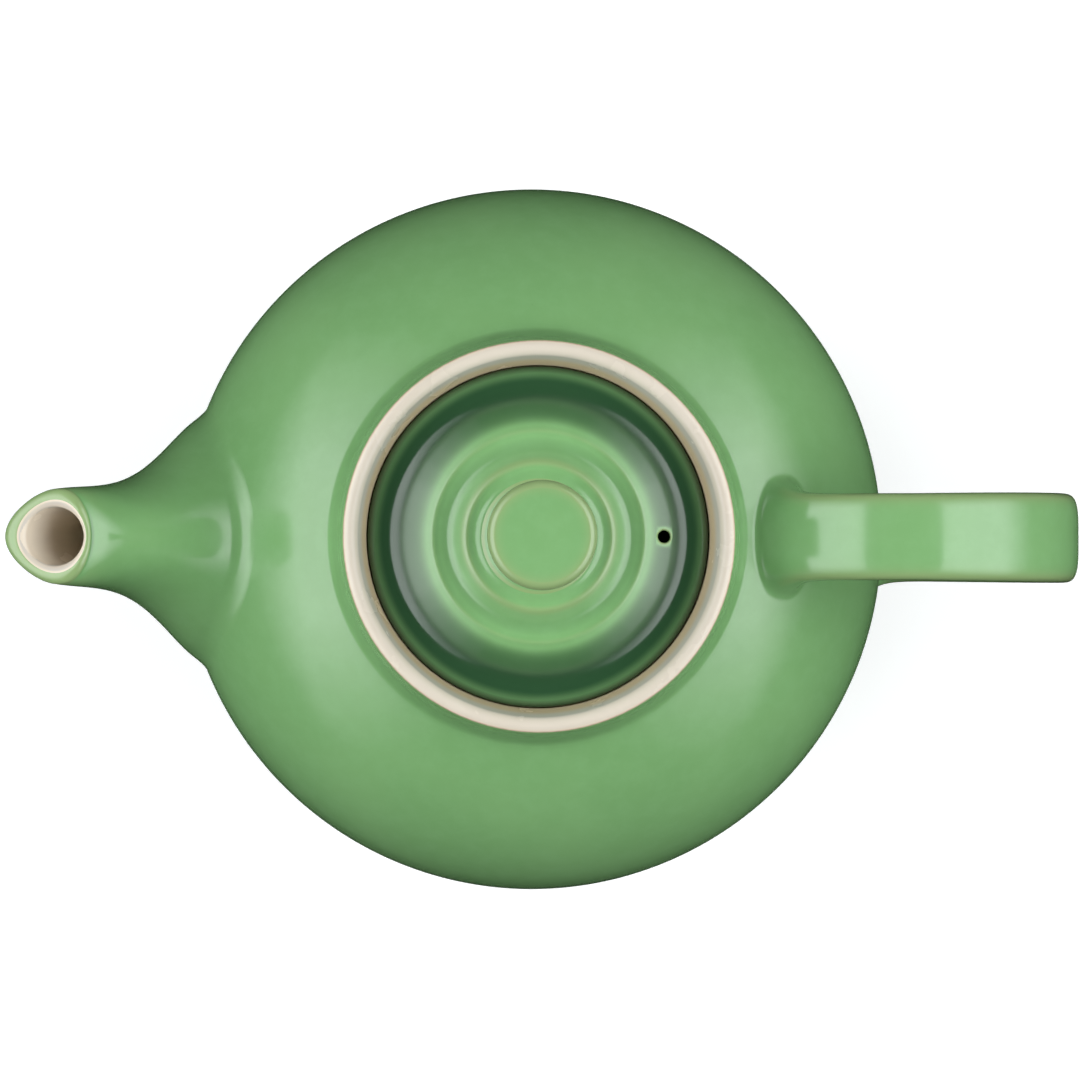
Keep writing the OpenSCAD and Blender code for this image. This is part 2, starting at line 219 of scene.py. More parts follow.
def rounded(corners, steps=6):
    """A closed outline of (x, y, fillet radius), with its corners rounded."""
    c = np.array(corners, float)
    out = []
    for i in range(len(c)):
        here, before, after = c[i, :2], c[i - 1, :2], c[(i + 1) % len(c), :2]
        radius = c[i, 2]
        if radius <= 0:
            out.append(here[None])
            continue
        back = (before - here) / np.linalg.norm(before - here)
        ahead = (after - here) / np.linalg.norm(after - here)
        half = math.acos(np.clip(back @ ahead, -1, 1)) / 2
        reach = radius / math.tan(half)
        centre = here + (back + ahead) / np.linalg.norm(back + ahead) * radius / math.sin(half)
        start = here + back * reach - centre
        end = here + ahead * reach - centre
        turn = math.atan2(start[0] * end[1] - start[1] * end[0], start @ end)
        angle = math.atan2(start[1], start[0]) + turn * np.linspace(0, 1, steps + 1)
        out.append(centre + radius * np.stack([np.cos(angle), np.sin(angle)], -1))
    return np.vstack(out)


def spaced(points, step):
    """The same curve with its points no more than step apart."""
    p = np.array(points, float)
    out = [p[:1]]
    for a, b in zip(p[:-1], p[1:]):
        n = max(1, math.ceil(np.linalg.norm(b - a) / step))
        out.append(mix(a, b, (np.arange(n) + 1)[:, None] / n))
    return np.vstack(out)


def even(points, step):
    """The curve resampled to even steps along it."""
    p = np.array(points, float)
    run = np.concatenate([[0], np.cumsum(np.linalg.norm(np.diff(p, axis=0), axis=1))])
    at = np.linspace(0, run[-1], max(2, round(run[-1] / step) + 1))
    return np.stack([np.interp(at, run, p[:, k]) for k in range(2)], -1)


# ---------------- meshes
SEGMENTS = 240           # points round everything that is turned


def place_object(name, data):
    made = bpy.data.objects.new(name, data)
    bpy.context.scene.collection.objects.link(made)
    return made


class Skin:
    """Gathers grids of points, in millimetres, into one welded mesh."""

    def __init__(self):
        self.points = []
        self.faces = []
        self.count = 0

    def grid(self, rows, loop_rows=False, loop_cols=True, window=None):
        """Quads between rows of points. A window (row, row, column, column) stays open."""
        rows = np.asarray(rows, float)
        n, m = rows.shape[:2]
        index = self.count + np.arange(n * m).reshape(n, m)
        self.points.append(rows.reshape(-1, 3))
        self.count += n * m
        j, i = np.meshgrid(
            np.arange(n if loop_rows else n - 1),
            np.arange(m if loop_cols else m - 1),
            indexing="ij",
        )
        j, i = j.ravel(), i.ravel()
        if window:
            inside = (j >= window[0]) & (j < window[1]) & (i >= window[2]) & (i < window[3])
            j, i = j[~inside], i[~inside]
        k, l = (j + 1) % n, (i + 1) % m
        quads = np.stack([index[j, i], index[j, l], index[k, l], index[k, i]], -1)
        self.faces += quads.tolist()

    def halving(self, ring, fewer):
        """Triangles from a ring of points to a ring inside it that has half as many."""
        n = len(fewer)
        index = self.count + np.arange(3 * n)
        self.points.append(np.vstack([ring, fewer]))
        self.count += 3 * n
        many, few = index[:2 * n], index[2 * n:]
        for i in range(n):
            a, b, c = many[2 * i], many[2 * i + 1], many[(2 * i + 2) % (2 * n)]
            d, e = few[i], few[(i + 1) % n]
            self.faces += [[a, b, d], [b, e, d], [b, c, e]]

    def object(self, name):
        mesh = bpy.data.meshes.new(name)
        mesh.from_pydata((np.vstack(self.points) * MM).tolist(), [], self.faces)
        bm = bmesh.new()
        bm.from_mesh(mesh)
        bmesh.ops.remove_doubles(bm, verts=bm.verts, dist=2e-6)
        bmesh.ops.dissolve_degenerate(bm, edges=bm.edges, dist=1e-7)
        bmesh.ops.recalc_face_normals(bm, faces=bm.faces)
        bm.to_mesh(mesh)
        bm.free()
        mesh.shade_smooth()
        mesh.set_sharp_from_angle(angle=math.radians(50))
        return place_object(name, mesh)


def round_axis(r, angle, z):
    return np.stack([r * np.cos(angle), r * np.sin(angle), z + 0 * angle], -1)


def turned(profile, segments, start=0.0):
    """The rings of points that a profile of (radius, height) makes round the axis."""
    profile = np.asarray(profile, float)
    angle = np.radians(start + np.arange(segments) * 360 / segments)
    return round_axis(profile[:, :1], angle, profile[:, 1:])


def closed(name, rings):
    """A piece whose rings of points run round and back to the first."""
    skin = Skin()
    skin.grid(rings, loop_rows=True)
    return skin.object(name)


def turned_ring(name, outline, step):
    """A ring from its closed outline of (radius, height)."""
    outline = spaced(np.vstack([outline, outline[:1]]), step)[:-1]
    return closed(name, turned(outline, SEGMENTS))


def window_border(rows, window):
    """The points round a window of a grid, in order."""
    top, bottom, left, right = window
    return np.vstack([
        rows[top, left:right], rows[top:bottom, right],
        rows[bottom, right:left:-1], rows[bottom:top:-1, left],
    ])


def hole_rings(border, across, lift, axis, centre, radius, lip, blends=6):
    """Rings from a window's border to a round hole with a rounded lip. The hole is
    round in the two coordinates across, and lift puts such points on the surface."""
    flat = border[:, across]
    n = len(flat)
    first = flat[0] - centre
    second = flat[n // 4] - centre
    turn = np.sign(first[0] * second[1] - first[1] * second[0])
    angle = math.atan2(first[1], first[0]) + turn * 2 * np.pi * np.arange(n) / n
    ray = np.stack([np.cos(angle), np.sin(angle)], -1)
    rings = [border]
    for k in range(1, blends + 1):
        t = k / blends
        rings.append(lift(mix(flat, centre + ray * (radius + lip), t)))
    for k in range(1, 7):
        bend = k / 6 * math.pi / 2
        ring = lift(centre + ray * (radius + lip * (1 - math.sin(bend))))
        rings.append(ring + np.array(axis) * lip * (1 - math.cos(bend)))
    return np.array(rings)


def read(items, name, width, kind=float):
    """The same few numbers of every vertex or edge, one row each."""
    values = np.empty(len(items) * width, kind)
    items.foreach_get(name, values)
    return values.reshape(-1, width)


def over_edges(values_0, values_1, edges, count):
    """The mean over each point's edges, from the values for the edges' two ends."""
    total = np.zeros(count)
    np.add.at(total, edges[:, 0], values_0)
    np.add.at(total, edges[:, 1], values_1)
    return total / np.maximum(np.bincount(edges.ravel(), minlength=count), 1)


def pool_glaze_and_paint_light(made, spread=6, extra=None, luted=False):
    """Stores how thick the glaze lies at each point, with painted shade and light added:
    over 0 in a hollow, where the glaze pools and the darker colour also paints shade,
    under 0 where it runs thin over an edge.

    extra(place) adds to it, and luted keeps it from running thin beside the belly."""
    mesh = made.data
    count = len(mesh.vertices)
    place = read(mesh.vertices, "co", 3) / MM
    normal = read(mesh.vertices, "normal", 3)
    edges = read(mesh.edges, "vertices", 2, int)
    step = place[edges[:, 1]] - place[edges[:, 0]]
    bend = ((normal[edges[:, 1]] - normal[edges[:, 0]]) * step).sum(1)
    bend /= np.maximum((step ** 2).sum(1), 0.01)
    curve = np.clip(over_edges(bend, bend, edges, count), -0.8, 0.8)
    for _ in range(spread):
        around = over_edges(curve[edges[:, 1]], curve[edges[:, 0]], edges, count)
        curve = mix(curve, around, 0.6)
    pool_and_painted_light = -2.2 * curve
    if extra:
        pool_and_painted_light = pool_and_painted_light + extra(place)
    if luted:
        from_belly = np.linalg.norm((place - BELLY_MIDDLE) / BELLY_AXES, axis=-1) - 1
        pool_and_painted_light = np.where(from_belly < 0.03, np.maximum(pool_and_painted_light, 0.08), pool_and_painted_light)
    store(mesh, "pool_and_painted_light", np.clip(pool_and_painted_light, -1, 1.5))
    return made


def store(mesh, name, values):
    """Gives each vertex a number that the materials read."""
    layer = mesh.attributes.new(name, "FLOAT", "POINT")
    layer.data.foreach_set("value", np.asarray(values, np.float32))


def finish_piece(made, body, slot, material, node):
    """Gives a piece its material and body, and lets it stand for its CAD node. Its slot is not
    used.
    """
    made.data.materials.append(material)
    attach(made, body)
    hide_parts(node)


# ---------------- belly
BELLY_MIDDLE = np.array([0, 0, belly_z])
BELLY_AXES = np.array([belly_a, belly_a, belly_b])
PORT_CELLS = 8           # the port's window reaches this many cells to each side


def unit(v):
    return v / np.linalg.norm(v, axis=-1, keepdims=True)


def onto_belly(p, direction, gap=0.0):
    """Slides points along a direction, outwards, to where they meet the belly."""
    q = (p - BELLY_MIDDLE) / (BELLY_AXES + gap)
    d = np.asarray(direction, float) / (BELLY_AXES + gap)
    qd, dd, qq = (q * d).sum(-1), (d * d).sum(-1), (q * q).sum(-1)
    s = (-qd + np.sqrt(qd ** 2 - dd * (qq - 1))) / dd
    return p + s[..., None] * direction


def pulled_to_belly(p, gap=0.0):
    """Points moved straight towards or away from the belly's centre, onto it."""
    away = p - BELLY_MIDDLE
    size = np.linalg.norm(away / (BELLY_AXES + gap), axis=-1, keepdims=True)
    return BELLY_MIDDLE + away / size


def belly_normal(p):
    return unit((p - BELLY_MIDDLE) / BELLY_AXES ** 2)


def laid_flat(v, normal):
    """The directions v turned into the plane square to the normal."""
    return unit(v - normal * (v * normal).sum(-1, keepdims=True))


def ellipse_run(a, b, start, end, steps):
    t = np.linspace(start, end, steps + 1)
    return np.stack([a * np.cos(t), belly_z + b * np.sin(t)], -1)


def pot_outside():
    """The pot's outside from the axis under the floor up to the glaze joint, and
    which of its points is the widest."""
    start = math.asin((foot_z + 0.25 - belly_z) / belly_b)
    end = math.acos(collar_root_r / belly_a)
    foot_in_r = foot_r - foot_w
    under = [[0, foot_z + 0.6], [foot_in_r - 8, foot_z + 0.6], [foot_in_r - 2, foot_z + 0.1]]
    under = np.vstack([spaced(under, 4), [[foot_in_r + 1, foot_z]]])
    edge = [[foot_r - 1.2, foot_z], [foot_r - 0.5, foot_z + 0.02]]
    belly = np.vstack([
        ellipse_run(belly_a, belly_b, start, 0, 28),
        ellipse_run(belly_a, belly_b, 0, end, 28)[1:],
    ])
    collar = bezier(np.array([
        [collar_root_r, collar_root_z],
        [collar_r + collar_spread / 3, collar_root_z + collar_h / 12],
        [collar_r + collar_spread / 5, collar_root_z + collar_h / 2],
        [collar_r, rim_centre[1]],
    ]), np.linspace(0, 1, 25)[1:])
    crest = arc(rim_centre, rim_round, 0, glaze_joint, 8)[1:]
    first = len(under) + len(edge)
    return np.vstack([under, edge, belly, collar, crest]), first + 28


def pot_inside(t, steps_to_port):
    """The pot's inside from the glaze joint down to the floor, t deep in the clay,
    and which of its points is the widest."""
    funnel = rim_centre - [recess_r, recess_z]
    facing = math.atan2(funnel[1], funnel[0])
    lean = math.degrees(facing + math.asin(rim_round / np.hypot(*funnel)))
    crest = arc(rim_centre, rim_round - t, glaze_joint, lean + 90, 20)
    down = math.radians(lean)
    top = [recess_r + t, recess_z + t * (math.sin(down) - 1) / math.cos(down)]
    step = rounded([
        [recess_r + t + (crest[-1][0] - recess_r - t) * 0.5, (crest[-1][1] + top[1]) / 2, 0],
        [top[0], top[1], 1.2],
        [recess_r + t, ledge_z - t, 0.7 + t],
        [throat_r + t, ledge_z - t, 0.8],
        [throat_r + t + 0.6, ledge_z - t - 6, 0],
    ])
    step = spaced(step, 1.2)[:-1]
    step = step[step[:, 1] > ledge_z - t - 1.6]
    start = math.acos((throat_r + t) / (cavity_a + t))
    end = math.asin((floor_z - t - belly_z) / (cavity_b + t))
    cavity = np.vstack([
        ellipse_run(cavity_a + t, cavity_b + t, start, 0, steps_to_port),
        ellipse_run(cavity_a + t, cavity_b + t, 0, end, 29)[1:],
    ])
    cavity = cavity[cavity[:, 1] < step[-1][1] - 0.6]
    corner = cavity[-1]
    floor = rounded([
        [cavity[-2][0], cavity[-2][1], 0], [corner[0], corner[1], 5], [0, floor_z - t, 0]
    ], 8)[1:]
    floor = spaced(floor, 4)
    middle = int(np.argmin(np.abs(cavity[:, 1] - belly_z)))
    return np.vstack([crest, step, cavity[:-1], floor]), len(crest) + len(step) + middle


def on_ellipsoid(a, b):
    """Puts (y, z) points back on the -X side of a belly surface."""
    def lift(flat):
        y, z = flat[:, 0], flat[:, 1]
        x = -a * np.sqrt(1 - (y / a) ** 2 - ((z - belly_z) / b) ** 2)
        return np.stack([x, y, z], -1)
    return lift


def ported_skin(skin, profile, middle, surface, axis_x, radius, lip):
    """A turned surface with the port's round hole. Returns the hole's last ring."""
    rows = turned(profile, SEGMENTS)
    half = SEGMENTS // 2
    window = (middle - PORT_CELLS, middle + PORT_CELLS, half - PORT_CELLS, half + PORT_CELLS)
    skin.grid(rows, window=window)
    rings = hole_rings(
        window_border(rows, window), [1, 2], on_ellipsoid(*surface),
        [axis_x, 0, 0], np.array([0, belly_z]), radius, lip,
    )
    skin.grid(rings)
    return rings[-1]


def tube_between(skin, start, end, steps=3):
    """A straight wall between two rings of points."""
    skin.grid([mix(start, end, k / steps) for k in range(steps + 1)])


def make_pot_body():
    skin = Skin()
    bed = coat + 0.02
    outside, middle = pot_outside()
    hole_out = ported_skin(skin, outside, middle, (belly_a, belly_b), 1, port_d / 2, 0.02)
    inside, middle_in = pot_inside(bed, 31)
    hole_in = ported_skin(
        skin, inside, middle_in, (cavity_a + bed, cavity_b + bed), -1, port_d / 2, 0.02)
    tube_between(skin, hole_out, hole_in)
    skin.grid(turned([outside[-1], inside[0]], SEGMENTS))
    return pool_glaze_and_paint_light(skin.object("pot_body_glazed"), 6, collar_pool_and_shade)


def collar_pool_and_shade(place):
    """Darker in the hollow at the collar's root: glaze lying a little deeper there, and painted
    shade.
    """
    r = np.hypot(place[:, 0], place[:, 1])
    return 0.36 * np.exp(-((r - collar_root_r + 0.6) / 2.0) ** 2) * (place[:, 2] > belly_z)


def make_pot_lining():
    """The cream glaze: the crest, the recess, the cavity and a sleeve in the port."""
    skin = Skin()
    face, middle = pot_inside(0, 31)
    hole_face = ported_skin(
        skin, face, middle, (cavity_a, cavity_b), -1, port_d / 2 - 0.4, 1.3)
    back, middle_back = pot_inside(coat, 31)
    hole_back = ported_skin(
        skin, back, middle_back, (cavity_a + coat, cavity_b + coat), -1, port_d / 2 - 0.04, 0.02)
    end_face = hole_face * [0, 1, 1] + [-belly_a + 1.4, 0, 0]
    end_back = hole_back * [0, 1, 1] + [-belly_a + 1.4, 0, 0]
    tube_between(skin, hole_face, end_face, 4)
    skin.grid([end_face, end_back])
    tube_between(skin, end_back, hole_back, 4)
    skin.grid(turned([face[0], back[0]], SEGMENTS))
    made = skin.object("pot_lining_glazed")
    # Painted shade: below the crest the cream is pushed to its warmer, darker deep colour.
    pool_glaze_and_paint_light(made, 6, lambda place: 0.7 * np.clip((rim_z - 0.6 - place[:, 2]) / 4, 0, 1))
    place = read(made.data.vertices, "co", 3) / MM
    spoke = np.hypot(place[:, 0], place[:, 1]) - rim_centre[0]
    up = np.degrees(np.arctan2(place[:, 2] - rim_centre[1], spoke))
    on_crest = (np.hypot(spoke, place[:, 2] - rim_centre[1]) < rim_round + 0.2) & (up > 0)
    store(made.data, "bare", np.clip((glaze_joint + 12 - up) / 9, 0, 1) * on_crest)
    return made


def make_foot_ring():
    inner = foot_r - foot_w
    outline = rounded([
        [inner + 0.1, foot_z - 0.05, 0.2], [inner + 0.3, 0, 1.4],
        [foot_r - 0.5, 0, 1.6], [foot_r - 0.35, foot_z - 0.05, 0.3],
    ], 8)
    return turned_ring("foot_ring_bare", outline, 0.9)


# ---------------- spout
def spout_lines():
    """The spout's top and low lines, from the root on the belly to the mouth."""
    def root(z):
        return np.array([-belly_a * math.sqrt(1 - ((z - belly_z) / belly_b) ** 2), z])
    half = mouth_l / 2 * np.array([math.cos(mouth_tip), math.sin(mouth_tip)])
    mouth = np.array([-spout_reach + half[0], mouth_z])
    root_top = root(spout_mid_z + spout_root_h / 2)
    root_low = root(spout_mid_z - spout_root_h / 2)
    top = [root_top, root_top + top_leaves, mouth + half + top_arrives, mouth + half]
    bottom = [root_low, root_low + low_leaves, mouth - half + low_arrives, mouth - half]
    return np.array(top), np.array(bottom)


TOP_LINE, LOW_LINE = spout_lines()
MOUTH_UP = np.array([-math.sin(mouth_tip), math.cos(mouth_tip)])


def spout_width(t):
    """How wide the spout is at t along it, wide at the root and narrowed at the lip."""
    neck_w = mouth_w + 1.4
    taper = (1 - t ** 1.5) ** 3.9
    return neck_w + (spout_root_w - neck_w) * taper - (neck_w - mouth_w) * t ** 8


def spout_flat(t, a, inset, up):
    """The spout's surface before it bows onto the belly. The outside ends in an
    egg-shaped mouth, and the bore ends in a round hole set back in it."""
    top, bottom = bezier(TOP_LINE, t), bezier(LOW_LINE, t)
    half = (top - bottom) / 2
    size = np.linalg.norm(half, axis=-1)
    along = half / size[..., None]
    egg = 2.35 * t ** 3 * np.sin(a) ** 2
    wider = np.sin(a) * (1 - 0.14 * t ** 4 * np.cos(a) ** 2)
    share, near_mouth = inset / spout_wall, t ** 6
    reach = mix(
        (size - inset) * np.cos(a) + egg * (1 - inset / size),
        mix(size * np.cos(a) + egg, bore_r * np.cos(a) + bore_back, share), near_mouth)
    y = mix(
        (spout_width(t) / 2 - inset) * wider,
        mix(spout_width(t) / 2 * wider, bore_r * np.sin(a), share), near_mouth)
    middle = (top + bottom) / 2 + along * reach[..., None]
    middle = middle + MOUTH_UP * np.asarray(up)[..., None]
    return np.stack([middle[..., 0], y, middle[..., 1]], -1)


def spout_at(t, a, inset=0.0, up=0.0):
    """Points of the spout at t along it and angle a round it."""
    t, a = np.broadcast_arrays(np.asarray(t, float), np.asarray(a, float))
    root = spout_flat(0 * t, a, inset, 0)
    bow = onto_belly(root, np.array([-1.0, 0, 0]), lute_gap) - root
    return spout_flat(t, a, inset, up) + bow * ((1 - t) ** 2)[..., None]


def luted_root(rings, root, joined, least, most, steps=14):
    """A fillet from the belly up to the ring that a piece's wall continues from.

    rings are two rings of the wall, the second nearer the belly; root is where the
    wall would meet the belly."""
    heading = unit(rings[1] - rings[0])
    out = laid_flat(root - root.mean(0), belly_normal(root))
    corner = 1 - (heading * out).sum(-1, keepdims=True)
    foot = pulled_to_belly(root + out * (least + most * corner), -0.05)
    inwards = laid_flat(root - foot, belly_normal(foot))
    near = np.linalg.norm(root - rings[1], axis=-1, keepdims=True) * joined
    far = np.linalg.norm(root - foot, axis=-1, keepdims=True) * 0.62
    curve = [foot, foot + inwards * far, rings[1] + heading * near, rings[1]]
    return np.array([bezier(curve, t) for t in np.linspace(0, 1, steps + 1)])


SPOUT_SIDES = 128
SPOUT_TURNS = -2 * np.pi * np.arange(SPOUT_SIDES) / SPOUT_SIDES
LIP_RISE = spout_wall * 0.34
LIP_JOINT = 0.6


def lip_ring(a, share, sink=0.0, further=0.0):
    """A ring of the mouth's lip at a share of the wall's thickness, which sets its rise."""
    wall_there = np.linalg.norm(spout_at(1, a) - spout_at(1, a, spout_wall), axis=-1)
    round_top = math.sqrt(max(0, 1 - (2 * share - 1) ** 2))
    rise = np.minimum(LIP_RISE, 0.5 * wall_there) * round_top
    return spout_at(1, a, share * spout_wall + further, rise - sink)


def make_spout():
    a = SPOUT_TURNS
    clay = spout_wall - coat
    wall_rings = spout_at(np.linspace(root_share, 1, 84)[:, None], a)
    near = spout_at(np.array([root_share + 0.01, root_share])[:, None], a)
    skirt = luted_root(near, spout_at(0, a), 0.62, 1.3, 3.6)
    shares = LIP_JOINT * np.sin(np.linspace(0, np.pi / 2, 13)[1:]) ** 2
    lips = [lip_ring(a, s) for s in shares]
    groove = lip_ring(a, LIP_JOINT, 0.35, 0.05)
    inner = spout_at(np.linspace(1, 0, 44)[:, None], a, clay)
    base = pulled_to_belly(spout_at(0, a, clay), 0.02)
    made = closed("spout_glazed", np.vstack([
        skirt, wall_rings[1:], np.array(lips), groove[None], inner, base[None]]))
    return pool_glaze_and_paint_light(made, 8, luted=True)


def make_spout_lining():
    a = SPOUT_TURNS
    bed = spout_wall - coat + 0.02
    inner = spout_at(np.linspace(0, 1, 84)[:, None], a, spout_wall)
    shares = mix(LIP_JOINT, 1, np.linspace(1, 0, 13)[1:])
    lips = [lip_ring(a, s) for s in shares]
    groove = lip_ring(a, LIP_JOINT, 0.3, 0.08)
    back = spout_at(np.linspace(1, 0, 44)[:, None], a, bed)
    rings = np.vstack([inner, np.array(lips), groove[None], back])
    made = closed("spout_lining_glazed", rings)
    # Painted light: the bore below the mouth's height is pushed to the pale colour, as if lit.
    return pool_glaze_and_paint_light(made, 8, lambda place: -0.9 * (place[:, 2] < mouth_z))


# ---------------- handle
STRAP_POINTS = 72


def loop_at(a):
    """Points of the handle's loop at angles a, in degrees."""
    a = np.radians(a)
    return np.stack([handle_x + loop_a * np.cos(a), 0 * a, handle_z + loop_b * np.sin(a)], -1)


def loop_out(a):
    """The directions out of the loop there."""
    a = np.radians(a)
    return unit(np.stack([loop_b * np.cos(a), 0 * a, loop_a * np.sin(a)], -1))


def meets_belly(within, without):
    """The loop's angle where it meets the belly, between one inside and one outside."""
    for _ in range(30):
        middle = (within + without) / 2
        if np.linalg.norm((loop_at(middle) - BELLY_MIDDLE) / BELLY_AXES) < 1:
            within = middle
        else:
            without = middle
    return (within + without) / 2


def squared(v, power):
    """A sine or cosine pushed out towards a rectangle's."""
    return np.sign(v) * np.abs(v) ** power


def strap_flat(a, spread):
    """Sections of the strap at angles a of the loop, rounder where they spread."""
    t = 2 * np.pi * np.arange(STRAP_POINTS) / STRAP_POINTS
    a, spread = np.broadcast_arrays(np.asarray(a, float), np.asarray(spread, float))
    half_w = (strap_w + strap_swell * np.maximum(np.cos(np.radians(a)), 0)) / 2
    power = mix(0.5, 0.8, spread / root_spread)[..., None]
    thick = squared(np.cos(t), power) * (strap_t / 2 + spread * 0.6)[..., None]
    wide = squared(np.sin(t), power) * (half_w + spread)[..., None]
    points = loop_at(a)[..., None, :] + loop_out(a)[..., None, :] * thick[..., None]
    points[..., 1] += wide
    return points


def strap_rings(a, root, into):
    """Sections at angles a that spread and bow onto the belly near the root."""
    near = np.maximum(0, 1 - np.abs(a - root) / spread_arc) ** 2.2
    pressed = strap_flat(root, root_spread)
    press = onto_belly(pressed, -into, lute_gap) - pressed
    return strap_flat(a, root_spread * near) + press * near[:, None, None]


def handle_end(root, belly_way, steps, half):
    """Half the strap from its fillet on the belly to the loop's middle. belly_way is
    the way round the loop to the belly, 1 or -1. Returns the fillet and the strap."""
    out = loop_out(root)
    into = belly_way * np.array([-out[2], 0, out[0]])
    begin = root - belly_way * fillet_arc
    strap = strap_rings(np.linspace(begin, half, steps), root, into)
    near = strap_rings(np.array([begin - belly_way, begin]), root, into)
    at_root = strap_rings(np.array([root]), root, into)[0]
    return luted_root(near, at_root, 0.6, 2.2, 1.8), strap


def make_handle():
    upper, lower = meets_belly(175, 80), meets_belly(-150, -60)
    half = (upper + lower) / 2
    skirt_up, over = handle_end(upper, 1, 60, half)
    skirt_low, under = handle_end(lower, -1, 60, half)
    rings = np.vstack([skirt_up, over[1:], under[-2:0:-1], skirt_low[::-1]])
    caps = []
    for ring in (rings[0], rings[-1]):
        steps = [pulled_to_belly(mix(ring, ring.mean(0), k / 4), -0.3 * k) for k in range(5)]
        steps[-1] = np.repeat(steps[-1].mean(0)[None], STRAP_POINTS, 0)
        caps.append(np.array(steps))
    skin = Skin()
    skin.grid(np.vstack([caps[0][::-1], rings[1:-1], caps[1]]))
    return pool_glaze_and_paint_light(skin.object("handle_glazed"), 8, luted=True)


# ---------------- lid
LID_CELLS = 4


def lid_relief():
    """The lid's top from its edge in to the knob's foot, above the seat."""
    slope_foot = np.array([moat_in_r, moat_h + 0.55])
    slope_top = np.array([ring_2_r + 1, ring_2_h - 0.5])
    return smooth([
        [edge_r, 0.9],
        [edge_r - 0.1, 1.9],
        [edge_r - 0.8, moat_h - 0.15],
        [bead_r, moat_h + 0.1],
        [moat_r, moat_h],
        slope_foot,
        mix(slope_foot, slope_top, 1 / 3),
        mix(slope_foot, slope_top, 2 / 3),
        slope_top,
        [ring_2_r, ring_2_h],
        [ring_2_r - 1, ring_2_h - 0.4],
        [mix(ring_1_r, ring_2_r, 0.5), ring_2_h - 0.1],
        [ring_1_r + 1, ring_1_h - 0.6],
        [ring_1_r, ring_1_h],
        [ring_1_r - 1.2, ring_1_h - 0.3],
        neck_foot,
    ], 12)


def lid_hollow(t):
    """The lid's underside from the skirt in to the axis, t deep in the clay."""
    hollow = smooth([
        [0, ring_1_h - lid_t + t],
        [ring_1_r - 2, ring_1_h - lid_t - 0.4 + t],
        [ring_2_r - 1, ring_2_h - lid_t + t],
        [skirt_in_r, t],
    ], 12)
    return even(hollow[::-1] + [0, seat_z], 0.62)


def on_profile(profile):
    """Puts (x, y) points back on a turned surface."""
    order = np.argsort(profile[:, 0])
    radius, height = profile[order, 0], profile[order, 1]

    def lift(flat):
        return np.column_stack([flat, np.interp(np.hypot(*flat.T), radius, height)])
    return lift


def vented_skin(skin, profile, down, lip_size):
    """A turned surface with the vent's hole on +X. Returns the hole's last ring."""
    rows = turned(profile, SEGMENTS, -180)
    middle = max(int(np.argmin(np.abs(profile[:, 0] - vent_at))), LID_CELLS)
    half = SEGMENTS // 2
    window = (middle - LID_CELLS, middle + LID_CELLS, half - LID_CELLS, half + LID_CELLS)
    skin.grid(rows, window=window)
    rings = hole_rings(
        window_border(rows, window), [0, 1], on_profile(profile),
        [0, 0, down], np.array([vent_at, 0]), vent_d / 2, lip_size,
    )
    skin.grid(rings)
    return rings[-1]


def make_lid_cap():
    relief = lid_relief() + [0, seat_z]
    top = np.vstack([even(relief, 0.55), spaced([relief[-1], [0, relief[-1][1]]], 3)[1:]])
    under = lid_hollow(coat + 0.01)
    skin = Skin()
    hole_top = vented_skin(skin, top, -1, 0.42)
    hole_under = vented_skin(skin, under, 1, 0.02)
    tube_between(skin, hole_top, hole_under)
    edge = np.vstack([
        under[:1], [[skirt_in_r, seat_z], [edge_r - 1.2, seat_z]],
        arc([edge_r - 0.9, seat_z + 0.9], 0.9, -90, 0, 6),
    ])
    skin.grid(turned(edge, SEGMENTS, -180))
    return pool_glaze_and_paint_light(skin.object("lid_cap_glazed"), 10, lid_painted_shade)


def lid_painted_shade(place):
    """Painted shade and a painted dark reflection: darker colour on the lid's long slope, in its
    moat and round its edge, with some pooled glaze in the moat.
    """
    r = np.hypot(place[:, 0], place[:, 1])
    slope = 1 / (1 + np.exp(-(r - ring_2_r - 1.9) / 0.9))
    moat = 1 / (1 + np.exp(-(r - moat_in_r + 0.6) / 0.35))
    edge = 1 / (1 + np.exp(-(r - edge_r + 1.2) / 0.25))
    return 0.66 * slope + 0.14 * moat + 0.5 * edge


def make_lid_knob():
    waist_h = mix(neck_foot[1], lid_h, 0.42)
    edge = 1.8
    side = smooth([
        neck_foot,
        [neck_r + neck_flare * 0.45, mix(neck_foot[1], waist_h, 0.16)],
        [neck_r + neck_flare * 0.1, mix(neck_foot[1], waist_h, 0.54)],
        [neck_r, waist_h],
        [mix(neck_r, knob_r, 0.3), mix(waist_h, lid_h, 0.36)],
        [mix(neck_r, knob_r, 0.8), mix(waist_h, lid_h, 0.66)],
        [knob_r, lid_h - edge],
    ], 10)
    shoulder = arc([knob_r - edge, lid_h - edge], edge, 0, 90, 12)[1:]
    crown = spaced([shoulder[-1], [0, lid_h]], 1.2)[1:]
    profile = np.vstack([
        [[0, neck_foot[1] - 0.6]], [[neck_foot[0] - 0.5, neck_foot[1] - 0.6]],
        side, shoulder, crown]) + [0, seat_z]
    skin = Skin()
    skin.grid(turned(profile, SEGMENTS))
    return pool_glaze_and_paint_light(skin.object("lid_knob_glazed"), 10)


def make_lid_lining():
    face = lid_hollow(0.0)
    back = lid_hollow(coat)
    skin = Skin()
    hole_face = vented_skin(skin, face, 1, 0.12)
    hole_back = vented_skin(skin, back, 1, 0.02)
    tube_between(skin, hole_face, hole_back, 1)
    skin.grid(turned([face[0], back[0]], SEGMENTS, -180))
    return pool_glaze_and_paint_light(skin.object("lid_lining_glazed"))


